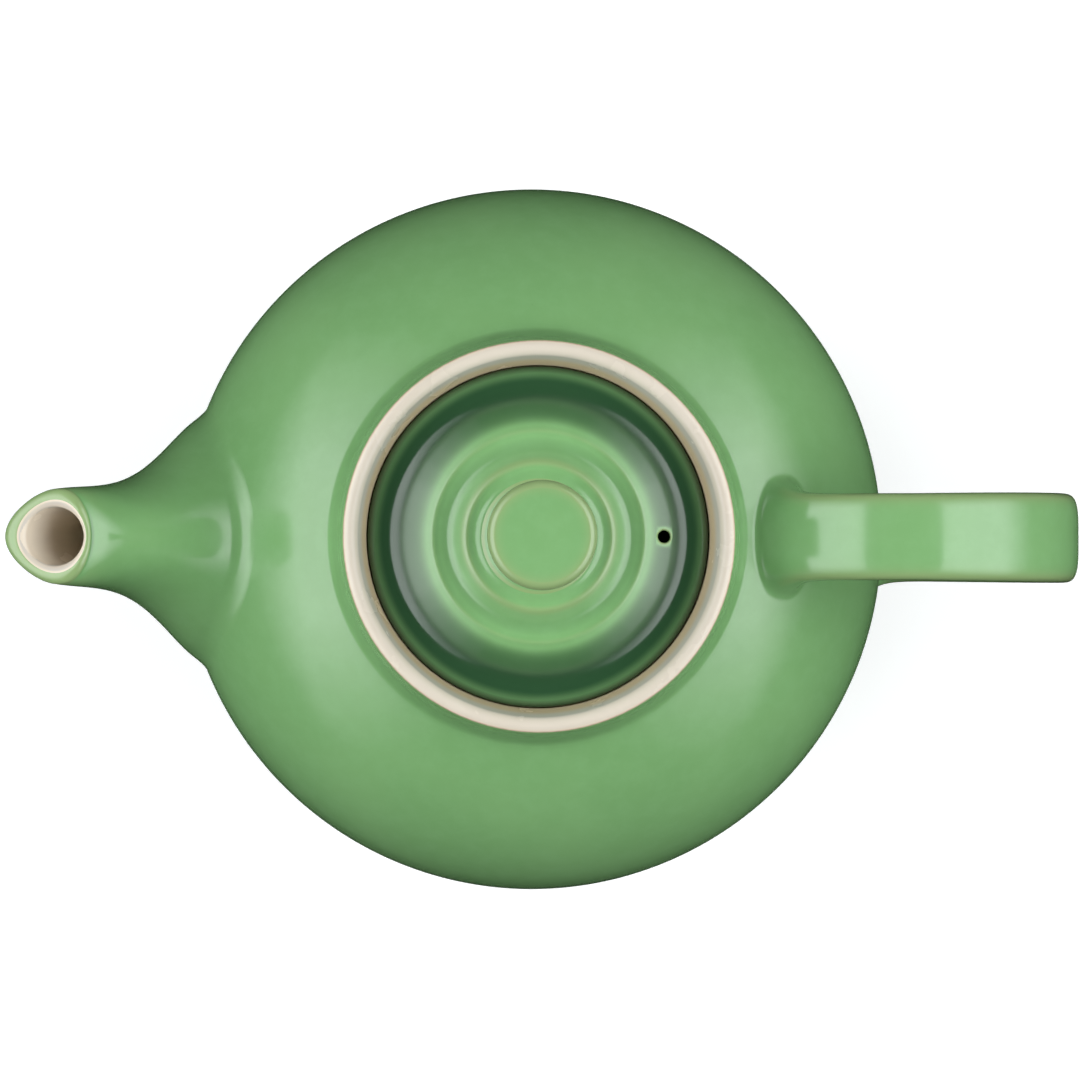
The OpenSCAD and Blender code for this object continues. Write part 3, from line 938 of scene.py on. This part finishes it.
def make_lid_skirt():
    outline = rounded([
        [skirt_in_r, seat_z, 0], [skirt_in_r, skirt_z, 1.3],
        [skirt_r, skirt_z, 1.3], [skirt_r, seat_z, 0],
    ], 10)
    return pool_glaze_and_paint_light(turned_ring("lid_skirt_glazed", outline, 1.2))


# ---------------- infuser
HOLES_ROUND = 84
HOLES_DOWN = 20
HOLE_R = 0.62
SEAM_HALF = 3.0
BASE_CELLS = 72
CELL_TURNS = np.radians(np.arange(8) * 45)
CELL_ROUND = np.stack([np.cos(CELL_TURNS), np.sin(CELL_TURNS)], -1)
CELL_SQUARE = np.sign(np.round(CELL_ROUND, 6)) / 2


def basket_r_at(z):
    """The basket wall's inner radius."""
    share = (rim_low - z) / (rim_low - basket_z - sheet)
    return basket_out_r - sheet - (basket_out_r - sheet - basket_low_r) * np.clip(share, 0, 1)


def holed_cell(skin, place, centre, hole):
    """One cell of a sheet, with a round hole through it. place(cells, depth) gives
    the points of the sheet's face at depth 0 and of its back at depth 1."""
    cell, ring = centre + CELL_SQUARE, centre + CELL_ROUND * hole
    skin.grid([place(cell, 0), place(ring, 0), place(ring, 1), place(cell, 1)])


def plain_cell(skin, place, centre):
    """One cell of a sheet, without a hole."""
    for depth in (0, 1):
        border = place(centre + CELL_SQUARE, depth)
        middle = border[1::2].mean(0)
        skin.grid([border, np.repeat(middle[None], len(border), 0)])


def make_infuser_wall():
    skin = Skin()
    low_z, high_z = basket_z + 6.2, rim_low - 0.9
    cell_w = 2 * np.pi * basket_out_r / HOLES_ROUND
    cell_h = (high_z - low_z) / HOLES_DOWN
    plain = math.ceil(SEAM_HALF / cell_w)

    def place(cells, depth):
        angle = cells[:, 0] * 2 * np.pi / HOLES_ROUND + np.pi
        z = mix(low_z, high_z, cells[:, 1] / HOLES_DOWN)
        return round_axis(basket_r_at(z) + sheet * (1 - depth), angle, z)

    for v in range(HOLES_DOWN):
        for u in range(HOLES_ROUND):
            centre = np.array([u + 0.5, v + 0.5])
            if plain <= u < HOLES_ROUND - plain:
                holed_cell(skin, place, centre, [HOLE_R / cell_w, HOLE_R / cell_h])
            else:
                plain_cell(skin, place, centre)

    def edge(*points):
        """A plain edge of the sheet through points of (height, share of the sheet, inset)."""
        profile = [[basket_r_at(z) + sheet * share + inset, z] for z, share, inset in points]
        skin.grid(turned(profile, 2 * HOLES_ROUND, 180))

    foot = basket_z + sheet + 0.05
    top = flange_z - 0.1
    round_ = 0.2
    edge(
        (low_z, 1, 0), (foot + round_, 1, 0), (foot, 1, -round_),
        (foot, 0, round_), (foot + round_, 0, 0), (low_z, 0, 0))
    edge(
        (high_z, 1, 0), (rim_low, 1, 0), (top - round_, 1, 0), (top, 1, -round_),
        (top, 0, round_), (top - round_, 0, 0), (rim_low, 0, 0), (high_z, 0, 0))
    return skin.object("infuser_wall_steel")


def make_infuser_rim():
    """The pressed flange and the collar that the wall is welded into."""
    outline = rounded([
        [basket_out_r, rim_low, 0.12], [basket_out_r + sheet, rim_low, 0.12],
        [basket_out_r + sheet, flange_z, 0.5], [flange_r, flange_z, 0.3],
        [flange_r, flange_top, 0.38], [basket_out_r, flange_top, 1.1],
    ], 6)
    return turned_ring("infuser_rim_steel", outline, 1.0)


def base_rings():
    """Rings of cells on the base, as (outer radius, inner radius, cells)."""
    outer = basket_low_r - 1.6
    middle = outer - 10.4
    wide, narrow = 2.3, 2.5
    rings = [(outer - wide * k, outer - wide * (k + 1), BASE_CELLS) for k in range(4)]
    rings += [(middle - narrow * k, middle - narrow * (k + 1), BASE_CELLS // 2) for k in range(3)]
    return rings


def base_cells(outer, inner, count):
    """Where the cells of one ring of the base lie."""
    def place(cells, depth):
        angle = cells[:, 0] * 2 * np.pi / count
        r = mix(outer, inner, cells[:, 1])
        return round_axis(r, angle, basket_z + sheet * (1 - depth))
    return place


def make_infuser_base():
    """The pressed cup that closes the basket, with rings of holes."""
    skin = Skin()
    face, back = basket_z + sheet, basket_z
    rings = base_rings()
    for outer, inner, count in rings:
        hole = [HOLE_R / (np.pi * (outer + inner) / count), HOLE_R / (outer - inner)]
        for u in range(count):
            holed_cell(skin, base_cells(outer, inner, count), np.array([u + 0.5, 0.5]), hole)
    outermost, innermost = rings[0][0], rings[-1][1]
    cup_r = high("infuser_base")[0]
    edge = rounded([
        [outermost, face, 0], [cup_r - sheet, face, 0.5], [cup_r - sheet, base_top, 0.2],
        [cup_r, base_top, 0.25], [cup_r, back, 1.1], [outermost, back, 0],
    ], 5)
    skin.grid(turned(edge, 2 * BASE_CELLS))
    last_wide = [ring[1] for ring in rings if ring[2] == BASE_CELLS][-1]
    first_narrow = [ring[0] for ring in rings if ring[2] < BASE_CELLS][0]
    for z in (face, back):
        skin.grid(turned([[innermost, z], [innermost / 2, z], [0, z]], BASE_CELLS))
        skin.halving(
            turned([[last_wide, z]], 2 * BASE_CELLS)[0], turned([[first_narrow, z]], BASE_CELLS)[0])
    return skin.object("infuser_base_steel")


def make_infuser_seam():
    """The lap strip down the wall, with a row of spot welds pressed into it."""
    low_z, high_z = low("infuser_seam")[2], high("infuser_seam")[2]
    lift, weld_bed, welds = 0.6 * sheet, 0.02, 9
    across = np.linspace(-1, 1, 33)
    up = np.linspace(0, 1, 161)
    u, v = np.meshgrid(across, up)
    z = mix(low_z, high_z, v)
    turn = math.pi + u * (high("infuser_seam")[1] - 0.02) / basket_out_r
    to_weld = np.abs((v * welds) % 1 - 0.5) / welds * (high_z - low_z)
    dimple = np.exp(-((u * SEAM_HALF) ** 2 + to_weld ** 2) / 0.7)
    rim = np.minimum(1 - np.abs(u), np.minimum(v, 1 - v) * 8)
    swell = np.clip(rim * 8, 0, 1) ** 0.5
    inner = basket_r_at(z) + sheet + weld_bed
    outer = inner + (lift - 2 * weld_bed) * mix(0.35, 1, swell) * (1 - 0.5 * dimple)
    skin = Skin()
    sides = [round_axis(r, turn, z) for r in (outer, inner)]
    for side in sides:
        skin.grid(side, loop_cols=False)
    window = (0, len(up) - 1, 0, len(across) - 1)
    skin.grid([window_border(side, window) for side in sides])
    return skin.object("infuser_seam_steel")


# ---------------- materials
def plug(tree, socket, value):
    """Gives a socket a value, or another node's output."""
    if isinstance(value, bpy.types.NodeSocket):
        tree.links.new(value, socket)
    else:
        socket.default_value = value


def fill(tree, node, **inputs):
    """Fills a node's sockets by name, with _ for each space."""
    for key, value in inputs.items():
        plug(tree, node.inputs[key.replace("_", " ")], value)
    return node


def add(tree, kind, settings=None, **inputs):
    """A new node with its settings and inputs."""
    node = tree.nodes.new(kind)
    for key, value in (settings or {}).items():
        setattr(node, key, value)
    return fill(tree, node, **inputs)


def maths(tree, operation, *values):
    node = add(tree, "ShaderNodeMath", {"operation": operation})
    for socket, value in zip(node.inputs, values):
        plug(tree, socket, value)
    return node


def blend_colours(tree, factor, first, second):
    node = add(tree, "ShaderNodeMix", {"data_type": "RGBA"})
    for k, value in ((0, factor), (6, first), (7, second)):
        plug(tree, node.inputs[k], value)
    return node.outputs[2]


def ranged(tree, value, from_low, from_high, to_low=0.0, to_high=1.0):
    """A value eased from one range to another, and held at its ends."""
    node = add(
        tree, "ShaderNodeMapRange", {"interpolation_type": "SMOOTHSTEP"}, Value=value,
        From_Min=from_low, From_Max=from_high, To_Min=to_low, To_Max=to_high)
    return node.outputs["Result"]


def noise(tree, where, scale, detail=3.0, rough=0.5):
    node = add(
        tree, "ShaderNodeTexNoise", Vector=where, Scale=scale, Detail=detail, Roughness=rough)
    return node.outputs["Fac"]


def stored(tree, name):
    """The number that store() gave each vertex under this name."""
    return add(tree, "ShaderNodeAttribute", {"attribute_name": name}).outputs["Fac"]


def colour(red, green, blue):
    """A linear colour from one on the usual 0 to 255 scale."""
    def linear(c):
        c /= 255
        return c / 12.92 if c <= 0.04045 else ((c + 0.055) / 1.055) ** 2.4
    return (linear(red), linear(green), linear(blue), 1.0)


def new_material(name):
    material = bpy.data.materials.new(name)
    material.use_nodes = True
    tree = material.node_tree
    return material, tree, tree.nodes["Principled BSDF"]


def textured(name):
    """A new material, with the object's own coordinates for its textures."""
    material, tree, shader = new_material(name)
    return material, tree, shader, add(tree, "ShaderNodeTexCoord").outputs["Object"]


def finish(tree, shader, base, rough, bump, strength, depth, **constants):
    """Wires a material's colour, roughness and bump, whose depth is in metres."""
    node = add(tree, "ShaderNodeBump", Height=bump, Strength=strength, Distance=depth)
    normal = node.outputs["Normal"]
    fill(tree, shader, Base_Color=base, Roughness=rough, Normal=normal, **constants)


def green_glaze():
    """Glossy green glaze: deep and blue where it pools, pale and yellow where it thins, and darker
    where shade is painted into hollows and over the lid's slope, moat and edge.
    """
    material, tree, shader, where = textured("green_glaze")
    pool_and_painted_light = stored(tree, "pool_and_painted_light")
    drift = ranged(tree, noise(tree, where, 38.0, 3.0), 0.3, 0.7)
    cloud = ranged(tree, noise(tree, where, 240.0, 4.0, 0.6), 0.35, 0.75, 0.0, 0.35)
    body = blend_colours(tree, drift, colour(127, 177, 114), colour(133, 182, 119))
    body = blend_colours(tree, cloud, body, colour(138, 189, 128))
    # Painted shade: this deep colour also stands for shade in hollows and on the lid's slope, moat
    # and edge.
    deep = blend_colours(tree, ranged(tree, pool_and_painted_light, 0.05, 0.85), body, colour(46, 82, 52))
    thin = blend_colours(tree, ranged(tree, pool_and_painted_light, -0.05, -0.5), deep, colour(150, 178, 120))
    speck = add(tree, "ShaderNodeTexVoronoi", Vector=where, Scale=420.0)
    spot = ranged(tree, speck.outputs["Distance"], 0.07, 0.02, 0.0, 0.22)
    rare = ranged(tree, noise(tree, where, 130.0, 1.0), 0.6, 0.68)
    specks = maths(tree, "MULTIPLY", spot, rare).outputs[0]
    final = blend_colours(tree, specks, thin, colour(70, 104, 62))
    rough = ranged(tree, noise(tree, where, 90.0, 4.0), 0.25, 0.8, 0.15, 0.22)
    finish(
        tree, shader, final, rough, noise(tree, where, 170.0, 2.0), 0.12, 0.0003,
        IOR=1.58, Coat_Weight=0.2, Coat_Roughness=0.08)
    return material


def cream_glaze():
    """Off-white glaze, warmer in the corners where it pools, warmer and darker inside the pot as
    painted shade, paler in the spout's bore as painted light, with a bare line of clay at the
    joint.
    """
    material, tree, shader, where = textured("cream_glaze")
    pool_and_painted_light, bare = stored(tree, "pool_and_painted_light"), stored(tree, "bare")
    drift = ranged(tree, noise(tree, where, 60.0, 4.0), 0.3, 0.7)
    body = blend_colours(tree, drift, colour(207, 199, 187), colour(213, 206, 195))
    # Painted shade: this warm deep colour also stands for shade inside the pot and in its corners.
    deep = blend_colours(tree, ranged(tree, pool_and_painted_light, 0.1, 0.9), body, colour(224, 197, 156))
    # Painted light: this pale colour marks thin glaze on edges and also stands for light in the
    # spout's bore.
    thin = blend_colours(tree, ranged(tree, pool_and_painted_light, -0.25, -0.9), deep, colour(238, 224, 203))
    grain = ranged(tree, noise(tree, where, 900.0, 3.0, 0.7), 0.35, 0.7)
    clay = blend_colours(tree, grain, colour(186, 150, 124), colour(214, 184, 158))
    final = blend_colours(tree, bare, thin, clay)
    gloss = ranged(tree, noise(tree, where, 110.0, 4.0), 0.25, 0.8, 0.2, 0.3)
    rough = maths(tree, "MULTIPLY_ADD", bare, 0.4, gloss)
    rough.use_clamp = True
    ripple = noise(tree, where, 200.0, 3.0)
    finish(tree, shader, final, rough.outputs[0], ripple, 0.06, 0.0003, IOR=1.5)
    return material


def bare_stoneware():
    """Fired clay without glaze: sandy, matt, with darker grog."""
    material, tree, shader, where = textured("bare_stoneware")
    grain = noise(tree, where, 1400.0, 5.0, 0.7)
    cloud = ranged(tree, noise(tree, where, 90.0, 4.0), 0.3, 0.7)
    body = blend_colours(tree, cloud, colour(196, 176, 148), colour(212, 196, 170))
    sand = blend_colours(tree, ranged(tree, grain, 0.55, 0.75), body, colour(160, 136, 108))
    rough = ranged(tree, grain, 0.3, 0.7, 0.72, 0.95)
    finish(tree, shader, sand, rough, grain, 0.5, 0.0002)
    return material


def brushed_steel():
    """Stainless sheet with a fine grain that runs round the basket."""
    material, tree, shader, where = textured("stainless_steel")
    stretch = add(tree, "ShaderNodeMapping", Vector=where, Scale=(40.0, 40.0, 2600.0))
    grain = noise(tree, stretch.outputs["Vector"], 1.0, 4.0, 0.65)
    smudge = ranged(tree, noise(tree, where, 55.0, 4.0), 0.3, 0.75)
    body = blend_colours(tree, smudge, colour(196, 196, 194), colour(212, 212, 210))
    rough = maths(tree, "MULTIPLY_ADD", grain, 0.18, 0.2)
    finish(tree, shader, body, rough.outputs[0], grain, 0.15, 0.0001, Metallic=1.0)
    return material


# ---------------- stage, in metres
def area_light(name, place, target, size, power, tint):
    data = bpy.data.lights.new(name, "AREA")
    data.shape = "RECTANGLE"
    data.size, data.size_y = size
    data.energy = power
    data.color = tint
    made = place_object(name, data)
    made.location = place
    made.rotation_euler = (Vector(target) - Vector(place)).to_track_quat("-Z", "Y").to_euler()


def stage_piece(name, points, faces, material):
    """A part of the studio that the camera sees and the glaze doesn't mirror."""
    mesh = bpy.data.meshes.new(name)
    mesh.from_pydata(points, [], faces)
    mesh.materials.append(material)
    made = place_object(name, mesh)
    made.visible_glossy = False
    made.visible_diffuse = False
    made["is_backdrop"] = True
    return made


def make_floor():
    """The white floor, and a pale round wall at its edge for low views."""
    reach, sides, tall = 3.0, 64, 3.0
    material, tree, shader = new_material("floor_white")
    fill(
        tree, shader, Base_Color=(0.92, 0.92, 0.92, 1), Roughness=0.9, Specular_IOR_Level=0.0,
        Emission_Color=(1, 1, 1, 1), Emission_Strength=0.4)
    corners = [(-reach, -reach, 0), (reach, -reach, 0), (reach, reach, 0), (-reach, reach, 0)]
    stage_piece("floor", corners, [(0, 1, 2, 3)], material)
    turns = [2 * math.pi * k / sides for k in range(sides)]
    points = [(reach * math.cos(a), reach * math.sin(a), z) for z in (0, tall) for a in turns]
    faces = [(k, (k + 1) % sides, sides + (k + 1) % sides, sides + k) for k in range(sides)]
    stage_piece("backdrop", points, faces, material).visible_shadow = False


def make_camera():
    """A long lens high above the pot, a little to the spout's side of its axis."""
    place = Vector((-32.7, -12.6, 1300)) * MM
    target = Vector((1.83, -0.19, 52)) * MM
    data = bpy.data.cameras.new("camera")
    data.lens = 186.6
    data.sensor_width = 36
    made = place_object("camera", data)
    look = (target - place).normalized()
    right = look.cross(Vector((0, 1, 0))).normalized()
    up = right.cross(look)
    turn = Matrix((right, up, -look)).transposed().to_4x4()
    made.matrix_world = Matrix.Translation(place) @ turn
    bpy.context.scene.camera = made


def make_lights():
    """Two large soft panels, to the left and right. Each is a stack of layers that
    get smaller and brighter, so that it fades at its edges, apart from its top."""
    away, top_edge, layers, pot_middle = 1.2, 65, 5, 0.07
    tint = (0.96, 0.985, 1)
    for side, name in ((-1, "left"), (1, "right")):
        for k in range(layers):
            inward = k / (layers - 1)
            spread, low_edge = mix(51, 22, inward), mix(4, 21, inward)
            glow = mix(0.42, 0.85, inward)
            middle = math.radians((top_edge + low_edge) / 2)
            wide = 2 * away * math.tan(math.radians(spread))
            tall = 2 * away * math.tan(math.radians((top_edge - low_edge) / 2))
            place = (side * away * math.cos(middle), 0, pot_middle + away * math.sin(middle))
            power = glow * math.pi * wide * tall
            area_light(f"{name}_panel_{k}", place, (0, 0, pot_middle), (wide, tall), power, tint)


def make_world():
    """A dim room under a soft bright ceiling, with some light thrown back from below."""
    world = bpy.data.worlds.new("studio")
    world.use_nodes = True
    tree = world.node_tree
    heading = add(tree, "ShaderNodeTexCoord").outputs["Generated"]
    height = add(tree, "ShaderNodeSeparateXYZ", Vector=heading).outputs["Z"]
    glow = ranged(tree, height, 0.5, 0.95, 0.025, 0.3)
    bounce = ranged(tree, height, -0.05, -0.5, 0.0, 0.08)
    both = maths(tree, "ADD", glow, bounce)
    tree.links.new(both.outputs[0], tree.nodes["Background"].inputs["Strength"])
    bpy.context.scene.world = world


# ---------------- build
make_camera()
make_world()
make_lights()
make_floor()
bpy.context.scene.view_settings.view_transform = "Standard"

green = green_glaze()
cream = cream_glaze()
clay_finish = bare_stoneware()
steel = brushed_steel()

PIECES = [
    (make_pot_body, "pot", "green_glaze", green, "pot_body"),
    (make_pot_lining, "pot", "cream_glaze", cream, "pot_lining"),
    (make_foot_ring, "pot", "bare_stoneware", clay_finish, "foot_ring"),
    (make_spout, "pot", "green_glaze", green, "spout"),
    (make_spout_lining, "pot", "cream_glaze", cream, "spout_lining"),
    (make_handle, "pot", "green_glaze", green, "handle"),
    (make_lid_cap, "lid", "lid_green_glaze", green, "lid_cap"),
    (make_lid_knob, "lid", "lid_green_glaze", green, "lid_knob"),
    (make_lid_lining, "lid", "lid_cream_glaze", cream, "lid_lining"),
    (make_lid_skirt, "lid", "lid_cream_glaze", cream, "lid_skirt"),
    (make_infuser_wall, "infuser", "stainless_steel", steel, "infuser_wall"),
    (make_infuser_rim, "infuser", "stainless_steel", steel, "infuser_rim"),
    (make_infuser_base, "infuser", "stainless_steel", steel, "infuser_base"),
    (make_infuser_seam, "infuser", "stainless_steel", steel, "infuser_seam"),
]
for make, body, slot, material, node in PIECES:
    finish_piece(make(), body, slot, material, node)

boxes = {"cad": cad_box, "visual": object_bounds()}
{k: [list(low_), list(high_)] for k, (low_, high_) in boxes.items()}
